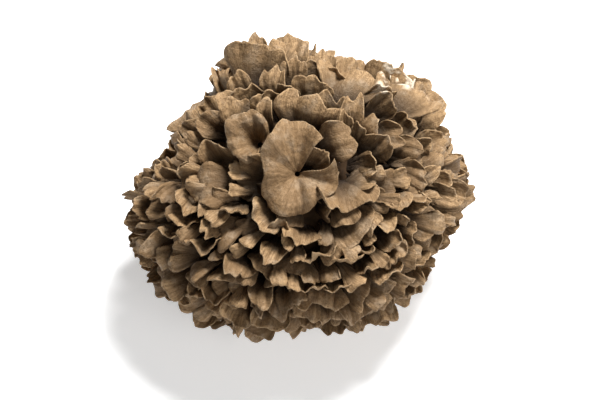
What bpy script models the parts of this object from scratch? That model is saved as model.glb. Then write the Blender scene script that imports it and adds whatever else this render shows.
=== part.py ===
"""A maitake mushroom (hen of the woods), grown as one body and standing on its cut stem.

A knotted middle carries thin fan-shaped caps that spread from a growth hub leaning to the
front. The caps on the front are placed one by one; a seeded rule places the others. Two sheets at
the hub stand open as funnels.
Metres, +Z up, +X across. The origin is the middle of the flat cut under the stem.
"""

import math
import random

import bmesh
import bpy
import numpy as np
from mathutils import Vector, noise

MM = 0.001

# Driving dimensions of the whole cluster
HALF_ACROSS = 0.132
HALF_DEEP = 0.119
HALF_TALL = 0.096
MIDDLE = np.array((0.0, 0.0, 0.094))
CORE_SHARE = 0.72  # the knotted middle, as a share of the outline
FACE_TILT = math.radians(58)  # how high the face of the rosette looks
LOWEST_CAP = 0.004

# Cut stem
STEM_RADIUS = 0.042
STEM_TOP = 0.060
STEM_SIDES = 14
BRANCHES = 7

# Flesh thickness of a cap
ROOT_THICK = 0.0045
RIM_THICK = 0.0014

FILL_SPOTS = 1000  # evenly spread places that the seeded rule tries
FILL_GAP = 0.0225  # the least way between the middles of a filling cap's blade and of its neighbours'
HUB_CLEAR = 0.045  # filling caps keep this far from the growth hub
PROUD_RIM = 0.003  # how far a rim may stand out of the skin
LOWER_LEAN = 18  # how much further the lower caps of the face lean out, in degrees
SEED = 41

# Funnels at the growth hub
FUNNEL_STALK = 0.030
STALK_SHARE = 0.25
STALK_RADIUS = 0.0024

ACROSS = np.array((1.0, 0.0, 0.0))
UPWARD = np.array((0.0, math.sin(FACE_TILT), math.cos(FACE_TILT)))
OUTWARD = np.array((0.0, -math.cos(FACE_TILT), math.sin(FACE_TILT)))

# Outline of the rosette face: bearing clockwise from its top, in degrees, and radius in mm
OUTLINE = (
    (0, 113), (15, 106), (50, 128), (64, 122), (90, 136), (118, 122), (150, 122),
    (180, 108), (205, 124), (240, 138), (264, 139), (288, 108), (318, 109), (340, 121),
)

# Caps of the face: rim across and up from the middle, heading clockwise from up,
# length and width (mm), lean out of the face and cupping (degrees), and for some how far
# the rim stands proud (mm).
FACE_CAPS = (
    # crown
    (-30, 111, 8, 58, 50, 26, 25, 12), (-33, 121, 5, 40, 16, 20, 20, 4), (-7, 114, 12, 46, 30, 25, 25, 6),
    (-60, 98, 338, 48, 26, 28, 30), (-5, 97, 10, 38, 20, 35, 30),
    (-40, 79, 355, 40, 29, 42, 15), (-21, 85, 5, 34, 20, 40, 25), (-8, 80, 5, 38, 18, 42, 50),
    (11, 83, 12, 42, 30, 38, 20), (-74, 69, 315, 38, 20, 36, 30),
    (-27, 71, 355, 34, 23, 46, 20), (-47, 65, 345, 38, 28, 42, 15),
    # upper right
    (17, 102, 10, 40, 22, 32, 20), (24, 95, 12, 40, 36, 36, 10), (48, 102, 20, 46, 28, 28, 25),
    (76, 96, 30, 50, 38, 26, 20), (108, 76, 62, 64, 46, 28, 30, 8), (67, 80, 40, 48, 21, 38, 65),
    (73, 66, 55, 42, 21, 40, 50), (87, 55, 65, 40, 20, 38, 40), (23, 67, 15, 50, 34, 46, 60, 2),
    (40, 60, 15, 50, 22, 52, 65), (75, 38, 110, 46, 22, 44, 50),
    (88, 24, 110, 44, 25, 42, 35), (109, 38, 65, 38, 20, 34, 30),
    (126, 40, 55, 52, 32, 28, 30), (133, 20, 80, 36, 18, 26, 25),
    (137, -1, 90, 52, 36, 24, 20),
    # left
    (-60, 34, 345, 54, 34, 38, 20, 5), (-73, 52, 310, 36, 22, 42, 30),
    (-88, 48, 300, 36, 20, 36, 30), (-103, 36, 285, 48, 27, 32, 20),
    (-117, 25, 310, 52, 33, 30, 40), (-87, 19, 340, 36, 18, 46, 60),
    (-79, 21, 310, 34, 20, 44, 20), (-104, -9, 215, 32, 17, 48, -15), (-87, -13, 205, 36, 22, 50, -15),
    (-134, 5, 285, 40, 20, 26, 30), (-127, -17, 255, 40, 18, 32, 25),
    (-138, -21, 262, 34, 16, 22, 20), (-49, -22, 190, 36, 20, 55, -15),
    # around the hub
    (13, 28, 28, 30, 24, 40, -15, 6), (34, 37, 68, 42, 30, 44, 20, 1), (36, 53, 15, 46, 15, 50, 70),
    (47, 48, 25, 44, 14, 50, 70), (63, 38, 52, 46, 26, 44, 35), (9, 65, 5, 52, 48, 42, 25, 4),
    (41, -17, 163, 46, 48, 30, 25, 8), (58, 14, 100, 36, 20, 46, 30),
    # lower left
    (-130, -30, 255, 40, 16, 26, 25), (-100, -39, 205, 34, 18, 50, 30), (-87, -30, 200, 32, 27, 55, 30),
    (-71, -48, 192, 38, 31, 60, 40), (-112, -45, 235, 36, 18, 42, 30),
    (-124, -55, 240, 42, 20, 30, 20), (-136, -46, 252, 36, 15, 22, 20),
    (-118, -70, 240, 40, 12, 22, 15), (-44, -62, 190, 36, 27, 60, 45), (-30, -81, 185, 36, 21, 58, 70),
    (-67, -82, 205, 40, 23, 46, 35), (-98, -88, 232, 38, 20, 28, 25),
    (-78, -102, 215, 36, 19, 26, 20), (-47, -116, 195, 44, 37, 22, -15),
    # lower middle
    (-20, -49, 180, 32, 20, 62, 45), (2, -38, 175, 32, 28, 62, 20),
    (16, -55, 170, 42, 28, 58, 55), (36, -58, 165, 34, 25, 60, 50), (49, -52, 165, 34, 17, 58, 75),
    (8, -78, 178, 34, 26, 55, 40), (29, -77, 170, 34, 25, 55, 45),
    (-9, -89, 182, 38, 19, 48, 45), (-16, -114, 185, 42, 33, 24, -15), (9, -105, 178, 36, 18, 32, 20),
    (28, -119, 172, 44, 25, 20, -10), (55, -108, 160, 42, 40, 24, -15),
    # right
    (90, 5, 115, 40, 23, 46, 40), (93, -16, 135, 34, 18, 48, 40),
    (116, -9, 115, 36, 20, 38, 75),
    (127, -6, 105, 36, 20, 30, 40), (110, -43, 130, 50, 32, 36, 35), (67, -28, 150, 32, 19, 56, 40),
    (87, -38, 135, 34, 20, 50, 40), (71, -53, 160, 32, 25, 54, 35),
    (95, -60, 140, 40, 23, 42, 40), (68, -67, 160, 30, 24, 50, 20), (90, -74, 145, 34, 16, 40, 40),
    (85, -84, 150, 34, 17, 34, 35), (125, -29, 110, 40, 22, 26, 25), (118, -50, 120, 38, 20, 26, 25),
    (100, -76, 135, 40, 22, 28, 20),
)

# Two sheets at the hub stand open as funnels: where the throat is (across, up), how deep it
# lies (mm), and the rim as bearing clockwise from up (degrees), reach and height (mm).
FUNNELS = (
    ((-2, 9.5), 13, ((68, 29, 7), (92, 29, 1), (108, 31, -2), (150, 24, 3), (185, 30, -3), (218, 33, 1),
                     (270, 24, 4), (322, 33, 9), (345, 41, 1), (364, 38, -6), (396, 32, 9))),
    ((-30, 32), 20, ((170, 9, -3), (222, 18, 1), (270, 23, 5), (305, 29, 3), (340, 25, 5), (412, 10, -4))),
)


def unit(vector):
    """The vector at length 1."""
    return vector / np.linalg.norm(vector)


def eased(stops, bearing, column=1):
    """A length at a bearing, in metres, eased between the stops' stated ones."""
    for low, high in zip(stops, stops[1:]):
        if low[0] <= bearing <= high[0]:
            share = (1 - math.cos(math.pi * (bearing - low[0]) / (high[0] - low[0]))) / 2
            return (low[column] + (high[column] - low[column]) * share) * MM
    return stops[-1][column] * MM


def outline_radius(bearing):
    """Radius of the rosette's outline at a bearing."""
    return eased(OUTLINE + ((360, OUTLINE[0][1]),), bearing % 360)


def plain_radius(direction):
    """How far the plain ellipsoid reaches from its middle along a unit direction."""
    x, y, z = direction
    return 1 / math.sqrt((x / HALF_ACROSS) ** 2 + (y / HALF_DEEP) ** 2 + (z / HALF_TALL) ** 2)


def skin_radius(direction):
    """How far the cluster reaches: the ellipsoid, pushed in and out to the outline."""
    across, up = direction @ ACROSS, direction @ UPWARD
    flat = math.hypot(across, up)
    bearing = math.degrees(math.atan2(across, up))
    edge = unit(across * ACROSS + up * UPWARD) if flat > 1e-6 else UPWARD
    stretch = outline_radius(bearing) / plain_radius(edge)
    return plain_radius(direction) * (1 + (stretch - 1) * flat ** 3)


def face_point(across, up):
    """The point of the skin over a place on the face, or beside it at the outline."""
    flat = across * ACROSS + up * UPWARD
    low, high = -0.2 * up, HALF_TALL + HALF_DEEP
    for _ in range(30):
        depth = (low + high) / 2
        spot = flat + depth * OUTWARD
        reach = np.linalg.norm(spot)
        if reach < skin_radius(spot / reach):
            low = depth
        else:
            high = depth
    return MIDDLE + flat + low * OUTWARD


def turned_about(vector, axis, angle):
    """The vector turned about a unit axis."""
    return (vector * math.cos(angle) + np.cross(axis, vector) * math.sin(angle)
            + axis * (axis @ vector) * (1 - math.cos(angle)))


def make_cap(tip, heading, upper, length, width, cup, dice, unrest=1.0):
    """One cap: its centreline from a root in the middle to the rim, and its own waves."""
    twist = math.radians(dice.uniform(-24, 24)) * unrest
    yaw = math.radians(dice.uniform(-14, 14)) * unrest
    upper = turned_about(upper, heading, twist)
    heading = turned_about(heading, upper, yaw)
    elbow = tip - 0.6 * length * heading
    inward = elbow - MIDDLE
    root_reach = (CORE_SHARE - 0.1) * skin_radius(unit(inward))
    root = MIDDLE + unit(inward) * min(root_reach, np.linalg.norm(inward))
    return {
        "root": root,
        "elbow": elbow,
        "tip": tip,
        "side": unit(np.cross(heading, upper)),
        "width": width,
        "stalk": 0.10 * width + 0.002,
        "cup": math.radians(cup) * dice.uniform(0.85, 1.15),
        "wave": width * dice.uniform(0.06, 0.16),
        "waves": dice.uniform(1.3, 3.2),
        "phase": dice.uniform(0, math.tau),
        "lobe": dice.uniform(0.01, 0.045),
        "lobes": dice.uniform(2.0, 4.5),
        "roll": dice.uniform(-0.24, 0.10) * length,
        "skew": dice.uniform(-0.14, 0.14),
        "screw": dice.uniform(-0.4, 0.4) * unrest,
    }


def settled(cap, proud=0):
    """The cap, drawn in until its rim stands no further out of the skin than it may."""
    rim = sheet(cap, np.ones(9), np.linspace(-1, 1, 9)) - MIDDLE
    over = max(np.linalg.norm(point) - skin_radius(unit(point)) for point in rim)
    back = max(0, over - PROUD_RIM - proud) * unit(cap["tip"] - MIDDLE)
    cap["tip"] = cap["tip"] - back
    cap["elbow"] = cap["elbow"] - back
    return cap


def face_caps():
    """The caps of the rosette's face, each in its stated place."""
    dice = random.Random(SEED)
    caps = []
    for across, up, turn, length, width, lean, cup, *proud in FACE_CAPS:
        turn, lean = math.radians(turn), math.radians(lean + LOWER_LEAN * min(1, max(0, -up / 60)))
        plane = math.sin(turn) * ACROSS + math.cos(turn) * UPWARD
        heading = math.cos(lean) * plane + math.sin(lean) * OUTWARD
        upper = math.cos(lean) * OUTWARD - math.sin(lean) * plane
        proud = sum(proud) * MM
        tip = face_point(across * MM, up * MM) + proud * OUTWARD
        cap = make_cap(tip, heading, upper, length * MM, width * MM, cup, dice, 0.8)
        caps.append(settled(cap, proud))
    return caps


def hub_funnels():
    """The sheets that open as funnels, described as caps are, with a rim all their own."""
    dice = random.Random(SEED + 8)
    funnels = []
    for (across, up), deep, rim in FUNNELS:
        first, last = math.radians(rim[0][0]), math.radians(rim[-1][0])
        mouth = face_point(across * MM, up * MM) + 0.004 * OUTWARD
        middle = (first + last) / 2
        reach = eased(rim, math.degrees(middle))
        funnels.append({
            "rim": rim,
            "mouth": mouth,
            "deep": deep * MM,
            "bearing": middle,
            "half_turn": (last - first) / 2,
            "root": mouth - (deep * MM + FUNNEL_STALK) * OUTWARD,
            "elbow": mouth,
            "tip": mouth + reach * (math.sin(middle) * ACROSS + math.cos(middle) * UPWARD),
            "width": reach * (last - first) * 0.6,
            "wave": dice.uniform(0.0012, 0.0018),
            "waves": dice.uniform(9.0, 12.0),
            "phase": dice.uniform(0, math.tau),
            "roll": -0.006,
        })
    return funnels


def cover_spot(cap):
    """The middle of a cap's blade."""
    return (cap["tip"] + cap["elbow"]) / 2


def fill_caps(taken):
    """Caps over the back, the sides and what the face leaves open, by a seeded rule."""
    dice = random.Random(SEED + 1)
    hub = face_point(0, 0.010)
    golden = math.pi * (3 - math.sqrt(5))
    centres = [cover_spot(cap) for cap in taken]
    caps = []
    for index in range(FILL_SPOTS):
        rise = 1 - 2 * (index + 0.5) / FILL_SPOTS
        ring = math.sqrt(1 - rise * rise)
        turn = golden * index
        spot = np.array((ring * math.cos(turn), ring * math.sin(turn), rise))
        spot = unit(spot + np.array([dice.uniform(-0.06, 0.06) for _ in range(3)]))
        size, cup = dice.uniform(0.8, 1.2), dice.uniform(0, 60)
        slack = dice.uniform(0.94, 1.03)
        tip = MIDDLE + spot * skin_radius(spot) * slack
        if tip[2] < 0.010:
            continue
        from_hub = math.degrees(math.acos(max(-1, min(1, spot @ OUTWARD))))
        away = unit((spot @ OUTWARD) * spot - OUTWARD)
        shelf = 34 * max(0, -spot @ UPWARD) * max(0, spot @ OUTWARD + 0.3)
        lean = math.radians(max(16, 50 - 0.34 * from_hub) + shelf)
        heading = math.cos(lean) * away + math.sin(lean) * spot
        heading = unit(np.array((heading[0], heading[1], max(heading[2], -0.12))))
        upper = unit(np.cross(np.cross(heading, math.cos(lean) * spot - math.sin(lean) * away), heading))
        length = size * (0.042 + 0.008 * spot[1])
        width = size * (0.035 + 0.010 * max(0, spot[1]))
        cap = settled(make_cap(tip, heading, upper, length, width, cup, dice))
        if min(np.linalg.norm(cover_spot(cap) - centre) for centre in centres) > FILL_GAP:
            caps.append(cap)
            centres.append(cover_spot(cap))
    return [cap for cap in caps if np.linalg.norm(cap["tip"] - hub) > HUB_CLEAR]


def funnel_sheet(cap, along, side):
    """Points of a funnel: a thin stalk that flares into a rim of its own reach all round."""
    bearing = cap["bearing"] + cap["half_turn"] * side
    reach, stand = np.array([(eased(cap["rim"], degrees), eased(cap["rim"], degrees, 2))
                             for degrees in np.degrees(bearing)]).T
    flare = np.clip((along - STALK_SHARE) / (1 - STALK_SHARE), 0, 1)
    radius = STALK_RADIUS + (reach - STALK_RADIUS) * flare ** 1.15
    height = -cap["deep"] * (1 - flare) ** 1.9 - FUNNEL_STALK * np.clip(1 - along / STALK_SHARE, 0, 1)
    swell = np.sin(cap["waves"] * side + cap["phase"]) + 0.5 * np.sin(2.3 * cap["waves"] * side)
    height = height + (stand + cap["wave"] * swell) * flare ** 1.3
    height = height + cap["roll"] * np.clip(flare - 0.7, 0, 1) ** 2 * 8
    spoke = np.sin(bearing)[:, None] * ACROSS + np.cos(bearing)[:, None] * UPWARD
    return cap["mouth"] + radius[:, None] * spoke + height[:, None] * OUTWARD


def sheet(cap, along, side):
    """Points of a cap's middle sheet, along 0 at the root to 1 at the rim, side -1 to 1."""
    along, side = np.asarray(along, float), np.asarray(side, float)
    if "rim" in cap:
        return funnel_sheet(cap, along, side)
    rounded = 0.5 + 0.5 * (1 - np.abs(side) ** 2.8) ** (1 / 2.8)
    edge = 1 + cap["lobe"] * np.sin(cap["lobes"] * side * 2 + cap["phase"]) + cap["skew"] * side
    run = (along * rounded * (1 + (edge - 1) * along ** 2))[:, None]
    line = (1 - run) ** 2 * cap["root"] + 2 * run * (1 - run) * cap["elbow"] + run ** 2 * cap["tip"]
    slope = 2 * (1 - run) * (cap["elbow"] - cap["root"]) + 2 * run * (cap["tip"] - cap["elbow"])
    rise = np.cross(cap["side"], slope)
    rise /= np.linalg.norm(rise, axis=1)[:, None]
    run = run[:, 0]
    spread = np.clip((run - 0.15) / 0.76, 0, 1)
    spread = spread * spread * (3 - 2 * spread)
    half = cap["stalk"] + (0.62 * cap["width"] - cap["stalk"]) * spread
    bend = cap["cup"] * spread + 1e-6
    turn = side * bend
    out = half / bend * np.sin(turn)
    lift = half / np.abs(bend) * (1 - np.cos(turn)) * np.sign(bend)
    swell = np.sin(cap["waves"] * side * 2 + cap["phase"])
    swell = swell + 0.4 * np.sin(cap["waves"] * side * 4.7 - 2 * cap["phase"])
    lift = lift + 0.8 * cap["wave"] * run ** 2.5 * swell
    lift = lift + cap["roll"] * np.clip(run - 0.72, 0, 1) ** 2 * 12
    spin = cap["screw"] * run ** 2
    out, lift = out * np.cos(spin) - lift * np.sin(spin), out * np.sin(spin) + lift * np.cos(spin)
    return line + out[:, None] * cap["side"] + lift[:, None] * rise


def faced(cap, along, side):
    """The middle sheet's points with their normals, which look out of the upper face."""
    along, side = np.asarray(along, float), np.asarray(side, float)
    step = 0.02
    ahead = sheet(cap, np.minimum(along + step, 1), side * 0.98)
    behind = sheet(cap, np.maximum(along - step, 0), side * 0.98)
    right = sheet(cap, along, np.minimum(side * 0.96 + step, 1))
    left = sheet(cap, along, np.maximum(side * 0.96 - step, -1))
    normal = np.cross(right - left, ahead - behind)
    return sheet(cap, along, side), normal / np.linalg.norm(normal, axis=1)[:, None]


WIDE_ROWS = (
    ((0, -1), (0, 1)),
    ((0.62, -0.86), (0.62, 0), (0.62, 0.86)),
    ((1, -0.93), (1, -0.55), (1, 0), (1, 0.55), (1, 0.93)),
)
NARROW_ROWS = (
    ((0, -1), (0, 1)),
    ((0.65, -0.86), (0.65, 0.86)),
    ((1, -0.85), (1, 0), (1, 0.85)),
)
WIDE_FROM = 0.027


def funnel_row(along, count):
    """One row of places across a funnel's sheet, evenly spread round it."""
    return tuple((along, side) for side in np.linspace(-1, 1, count))


FUNNEL_ROWS = (funnel_row(0, 4), funnel_row(STALK_SHARE, 6), funnel_row(0.55, 10), funnel_row(1, 19))


def stitch(inner, outer):
    """Triangles between two rows of corner numbers, walking both rows side by side."""
    faces, i, j = [], 0, 0
    while i < len(inner) - 1 or j < len(outer) - 1:
        inner_ahead = (i + 1) / (len(inner) - 1)
        outer_ahead = (j + 1) / (len(outer) - 1)
        if i == len(inner) - 1 or (j < len(outer) - 1 and outer_ahead <= inner_ahead):
            faces.append((inner[i], outer[j + 1], outer[j]))
            j += 1
        else:
            faces.append((inner[i], inner[i + 1], outer[j]))
            i += 1
    return faces


def cap_mesh(cap, name):
    """A closed blade: upper and lower face split alike, with a wall round them."""
    if "rim" in cap:
        rows, root_thick = FUNNEL_ROWS, STALK_RADIUS / 2
    else:
        rows, root_thick = (WIDE_ROWS if cap["width"] > WIDE_FROM else NARROW_ROWS), ROOT_THICK
    spots = [spot for row in rows for spot in row]
    along, side = zip(*spots)
    middle, normal = faced(cap, along, side)
    thick = RIM_THICK + (root_thick - RIM_THICK) * (1 - np.array(along)[:, None]) ** 1.2
    top, bottom = middle + normal * thick / 2, middle - normal * thick / 2
    count = len(spots)
    numbers, start = [], 0
    for row in rows:
        numbers.append(list(range(start, start + len(row))))
        start += len(row)
    upper = [face for inner, outer in zip(numbers, numbers[1:]) for face in stitch(inner, outer)]
    lower = [(a + count, c + count, b + count) for a, b, c in upper]
    rim = numbers[0] + [row[-1] for row in numbers[1:-1]] + numbers[-1][::-1]
    rim = rim + [row[0] for row in numbers[-2:0:-1]]
    walls = []
    for a, b in zip(rim, rim[1:] + rim[:1]):
        walls.append((a, b + count, b))
        walls.append((a, a + count, b + count))
    points = np.vstack((top, bottom))
    lowest = points[:, 2].argmin()
    if points[lowest, 2] < LOWEST_CAP:
        share = np.array(along + along)
        points[:, 2] += (LOWEST_CAP - points[lowest, 2]) * share / share[lowest]
    return add_mesh(name, points.tolist(), upper + lower + walls)


def add_mesh(name, points, faces):
    """A new object with this closed mesh, its faces pointing out."""
    mesh = bpy.data.meshes.new(name)
    mesh.from_pydata(points, [], faces)
    body = bmesh.new()
    body.from_mesh(mesh)
    bmesh.ops.recalc_face_normals(body, faces=body.faces)
    body.to_mesh(mesh)
    body.free()
    return bpy.data.objects.new(name, mesh)


def add_core():
    """The knotted middle that every cap grows from."""
    body = bmesh.new()
    bmesh.ops.create_icosphere(body, subdivisions=2, radius=1)
    for corner in body.verts:
        spot = np.array(corner.co.normalized())
        lump = 1 + 0.10 * noise.noise(Vector(spot * 3.1))
        corner.co = MIDDLE + spot * skin_radius(spot) * CORE_SHARE * lump
    mesh = bpy.data.meshes.new("core")
    body.to_mesh(mesh)
    body.free()
    return bpy.data.objects.new("core", mesh)


def turned(name, rings, sides, twist=0.0):
    """A closed tube through rings of (middle, radius)."""
    points, faces = [], []
    for middle, radius in rings:
        for step in range(sides):
            angle = math.tau * step / sides + twist
            points.append((middle[0] + radius * math.cos(angle),
                           middle[1] + radius * math.sin(angle), middle[2]))
    for ring in range(len(rings) - 1):
        for step in range(sides):
            a, b = ring * sides + step, ring * sides + (step + 1) % sides
            faces.append((a, b, b + sides, a + sides))
    faces.append(tuple(range(sides))[::-1])
    faces.append(tuple(range(len(points) - sides, len(points))))
    return add_mesh(name, points, faces)


def add_stem():
    """The stem stub, flat below where it was cut, and the branches that leave it."""
    rings = (((0, 0, 0), STEM_RADIUS), ((0, 0, 0.012), STEM_RADIUS * 1.02),
             ((0, 0, 0.030), STEM_RADIUS * 1.2), ((0, 0, STEM_TOP), STEM_RADIUS * 1.6))
    pieces = [turned("stem", rings, STEM_SIDES)]
    dice = random.Random(SEED + 2)
    for index in range(BRANCHES):
        angle = math.tau * (index + dice.uniform(-0.2, 0.2)) / BRANCHES
        heading = (math.cos(angle), math.sin(angle))
        near, far = 0.026, dice.uniform(0.068, 0.080)
        rings = (((near * heading[0], near * heading[1], 0.010), 0.011),
                 ((far * heading[0], far * heading[1], 0.062), 0.017))
        pieces.append(turned(f"branch_{index}", rings, 5, angle))
    return pieces


def join(base, others, name):
    """One closed body: a Boolean union, then its largest outer shell alone."""
    scene = bpy.context.scene.collection
    scene.objects.link(base)
    group = bpy.data.collections.new("grown")
    scene.children.link(group)
    for piece in others:
        group.objects.link(piece)
    union = base.modifiers.new("union", "BOOLEAN")
    union.operation = "UNION"
    union.operand_type = "COLLECTION"
    union.collection = group
    union.solver = "MANIFOLD"
    bpy.context.view_layer.update()
    shape = base.evaluated_get(bpy.context.evaluated_depsgraph_get())
    mesh = bpy.data.meshes.new_from_object(shape)
    for piece in others:
        bpy.data.objects.remove(piece)
    bpy.data.collections.remove(group)
    bpy.data.objects.remove(base)
    keep_outer_shell(mesh)
    mesh.name = name
    joined = bpy.data.objects.new(name, mesh)
    scene.objects.link(joined)
    return joined


def keep_outer_shell(mesh):
    """Removes sealed hollows and loose scraps: every shell but the largest."""
    body = bmesh.new()
    body.from_mesh(mesh)
    bmesh.ops.triangulate(body, faces=body.faces)
    body.faces.ensure_lookup_table()
    seen, shells = set(), []
    for face in body.faces:
        if face in seen:
            continue
        shell, queue = [], [face]
        seen.add(face)
        while queue:
            current = queue.pop()
            shell.append(current)
            for edge in current.edges:
                for other in edge.link_faces:
                    if other not in seen:
                        seen.add(other)
                        queue.append(other)
        shells.append(shell)
    shells.sort(key=len)
    scraps = [face for shell in shells[:-1] for face in shell]
    bmesh.ops.delete(body, geom=scraps, context="FACES")
    print(f"{len(shells)} shells, {len(scraps)} faces dropped, {len(body.faces)} kept")
    body.to_mesh(mesh)
    body.free()


def flesh():
    """Brown, dull mushroom skin."""
    material = bpy.data.materials.new("flesh")
    material.use_nodes = True
    shader = material.node_tree.nodes["Principled BSDF"]
    shader.inputs["Base Color"].default_value = (0.20, 0.13, 0.075, 1)
    shader.inputs["Roughness"].default_value = 0.8
    shader.inputs["Metallic"].default_value = 0.0
    return material


for old in list(bpy.data.objects):
    bpy.data.objects.remove(old)

front = face_caps() + hub_funnels()
caps = front + fill_caps(front)
print(f"{len(front)} caps on the face, {len(caps)} in all")
blades = [cap_mesh(cap, f"cap_{index}") for index, cap in enumerate(caps)]
maitake = join(add_core(), add_stem() + blades, "maitake")
maitake.data.materials.clear()
maitake.data.materials.append(flesh())
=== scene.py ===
# %% [markdown]
# # A maitake mushroom
# A maitake is one growth: a short cut stem divides into branches, and each branch ends in thin
# wavy caps. From outside nothing is seen but caps, some hundreds of them, round a hub that leans
# to the front. This lesson grows them by one rule. A cap is a bent fan with a root in the middle
# of the cluster, so the same function draws every cap, large or small.
# %% load the solid that the looks are built round
import math
import random

import bmesh
import bpy
import numpy as np
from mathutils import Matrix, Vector, noise


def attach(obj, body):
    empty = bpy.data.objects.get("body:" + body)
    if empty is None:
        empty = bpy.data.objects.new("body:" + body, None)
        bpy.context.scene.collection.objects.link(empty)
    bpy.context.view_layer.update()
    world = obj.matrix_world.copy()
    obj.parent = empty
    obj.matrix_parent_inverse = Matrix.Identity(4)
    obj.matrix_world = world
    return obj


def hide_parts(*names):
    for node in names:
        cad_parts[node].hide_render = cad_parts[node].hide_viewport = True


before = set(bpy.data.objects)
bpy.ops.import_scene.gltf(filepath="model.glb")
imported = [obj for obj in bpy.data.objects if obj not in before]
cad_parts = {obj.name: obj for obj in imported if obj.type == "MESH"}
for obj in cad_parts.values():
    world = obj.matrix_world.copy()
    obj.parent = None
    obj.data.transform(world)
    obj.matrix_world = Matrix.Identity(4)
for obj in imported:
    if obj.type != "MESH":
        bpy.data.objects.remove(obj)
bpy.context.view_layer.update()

# %% [markdown]
# ## Sizes
# Lengths are metres, apart from the lists that say mm. The cluster is an ellipsoid. The rosette's
# face leans back, and three directions are stated along it: `ACROSS` to the right, `UPWARD` up
# along the face and `OUTWARD` out of it. One seed serves every draw, so each run grows the same
# mushroom.
# %% sizes of the cluster
MM = 0.001
HALF_ACROSS = 0.132
HALF_DEEP = 0.119
HALF_TALL = 0.096
MIDDLE = np.array((0.0, 0.0, 0.094))
CORE_SHARE = 0.72  # how far out the knotted middle reaches, as a share of the way to the skin
FACE_TILT = math.radians(58)
SEED = 41

ACROSS = np.array((1.0, 0.0, 0.0))
UPWARD = np.array((0.0, math.sin(FACE_TILT), math.cos(FACE_TILT)))
OUTWARD = np.array((0.0, -math.cos(FACE_TILT), math.sin(FACE_TILT)))
print("across, deep and tall", [2 * half for half in (HALF_ACROSS, HALF_DEEP, HALF_TALL)])

# %% [markdown]
# ## From the outline to a skin
# Seen along the face, the cluster isn't quite round, so its outline is a short list of radii,
# eased into a closed curve. `skin_radius` pushes the ellipsoid in and out to that outline and
# says how far the cluster reaches in any direction. `face_point` starts in the middle and walks
# out of the face until it meets that skin, by halving the gap. Caps end at the skin, so the
# cluster keeps its shape however the caps are drawn.
# %% the skin that the caps reach
# Bearing clockwise from the top of the face, in degrees, and radius in mm.
OUTLINE = (
    (0, 113), (15, 106), (50, 128), (64, 122), (90, 136), (118, 122), (150, 122),
    (180, 108), (205, 124), (240, 138), (264, 139), (288, 108), (318, 109), (340, 121),
)
OUTLINE_HOLD = 3  # the higher, the closer to the face's edge the outline's bulges stay
HALVINGS = 30


def unit(vector):
    """The vector at length 1."""
    return vector / np.linalg.norm(vector)


def eased(stops, bearing, column=1):
    """A length at a bearing, in metres, eased between the stops' stated ones."""
    for low, high in zip(stops, stops[1:]):
        if low[0] <= bearing <= high[0]:
            share = (1 - math.cos(math.pi * (bearing - low[0]) / (high[0] - low[0]))) / 2
            return (low[column] + (high[column] - low[column]) * share) * MM
    return stops[-1][column] * MM


def outline_radius(bearing):
    """Radius of the rosette's outline at a bearing."""
    return eased(OUTLINE + ((360, OUTLINE[0][1]),), bearing % 360)


def plain_radius(direction):
    """How far the plain ellipsoid reaches from its middle along a unit direction."""
    x, y, z = direction
    return 1 / math.sqrt((x / HALF_ACROSS) ** 2 + (y / HALF_DEEP) ** 2 + (z / HALF_TALL) ** 2)


def skin_radius(direction):
    """How far the cluster reaches: the ellipsoid, pushed in and out to the outline."""
    across, up = direction @ ACROSS, direction @ UPWARD
    flat = math.hypot(across, up)
    bearing = math.degrees(math.atan2(across, up))
    edge = unit(across * ACROSS + up * UPWARD) if flat > 1e-6 else UPWARD
    stretch = outline_radius(bearing) / plain_radius(edge)
    return plain_radius(direction) * (1 + (stretch - 1) * flat ** OUTLINE_HOLD)


def face_point(across, up):
    """The point of the skin over a place on the face, or beside it at the outline."""
    flat = across * ACROSS + up * UPWARD
    low, high = -0.2 * up, HALF_TALL + HALF_DEEP
    for _ in range(HALVINGS):
        depth = (low + high) / 2
        spot = flat + depth * OUTWARD
        reach = np.linalg.norm(spot)
        if reach < skin_radius(spot / reach):
            low = depth
        else:
            high = depth
    return MIDDLE + flat + low * OUTWARD


print("reach to the right", round(float(skin_radius(ACROSS)), 4))

# %% [markdown]
# ## One cap
# A cap has three points: a root in the knotted middle, an elbow where the blade opens, and the
# tip at the skin. Its waves, lobes and roll are drawn at random once. `PLAIN` holds what a cap
# has before its close-up detail is drawn. A cap may be drawn in a little, so that its rim stands
# no further out of the skin than `PROUD_RIM`.
# %% make a cap, then settle it in the skin
OPENS = 0.15  # where along its length a full-grown blade starts to open from its stalk
SQUARE = 0.50  # how far out the rim is at the blade's sides, as a share of its reach in the middle
MOST_TWIST = 24  # how far a cap may roll out of its stated place, in degrees
MOST_YAW = 14  # how far it may head beside its stated way, in degrees
BLADE_SHARE = 0.6  # how much of a cap's stated length is the blade, from the elbow on
ROOT_SINK = 0.1  # how far the root lies inside the knotted middle, as a share of the skin's reach
PROUD_RIM = 0.003
PLAIN = {
    "opens": OPENS, "square": SQUARE, "teeth": (), "cracks": (), "ruffle": 0, "ruffles": 0,
    "fold": 0, "folds": 0, "shift": 0, "splits": (-1, 1), "notches": (0, 0), "spoons": (0,),
}


def turned_about(vector, axis, angle):
    """The vector turned about a unit axis."""
    return (vector * math.cos(angle) + np.cross(axis, vector) * math.sin(angle)
            + axis * (axis @ vector) * (1 - math.cos(angle)))


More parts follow.
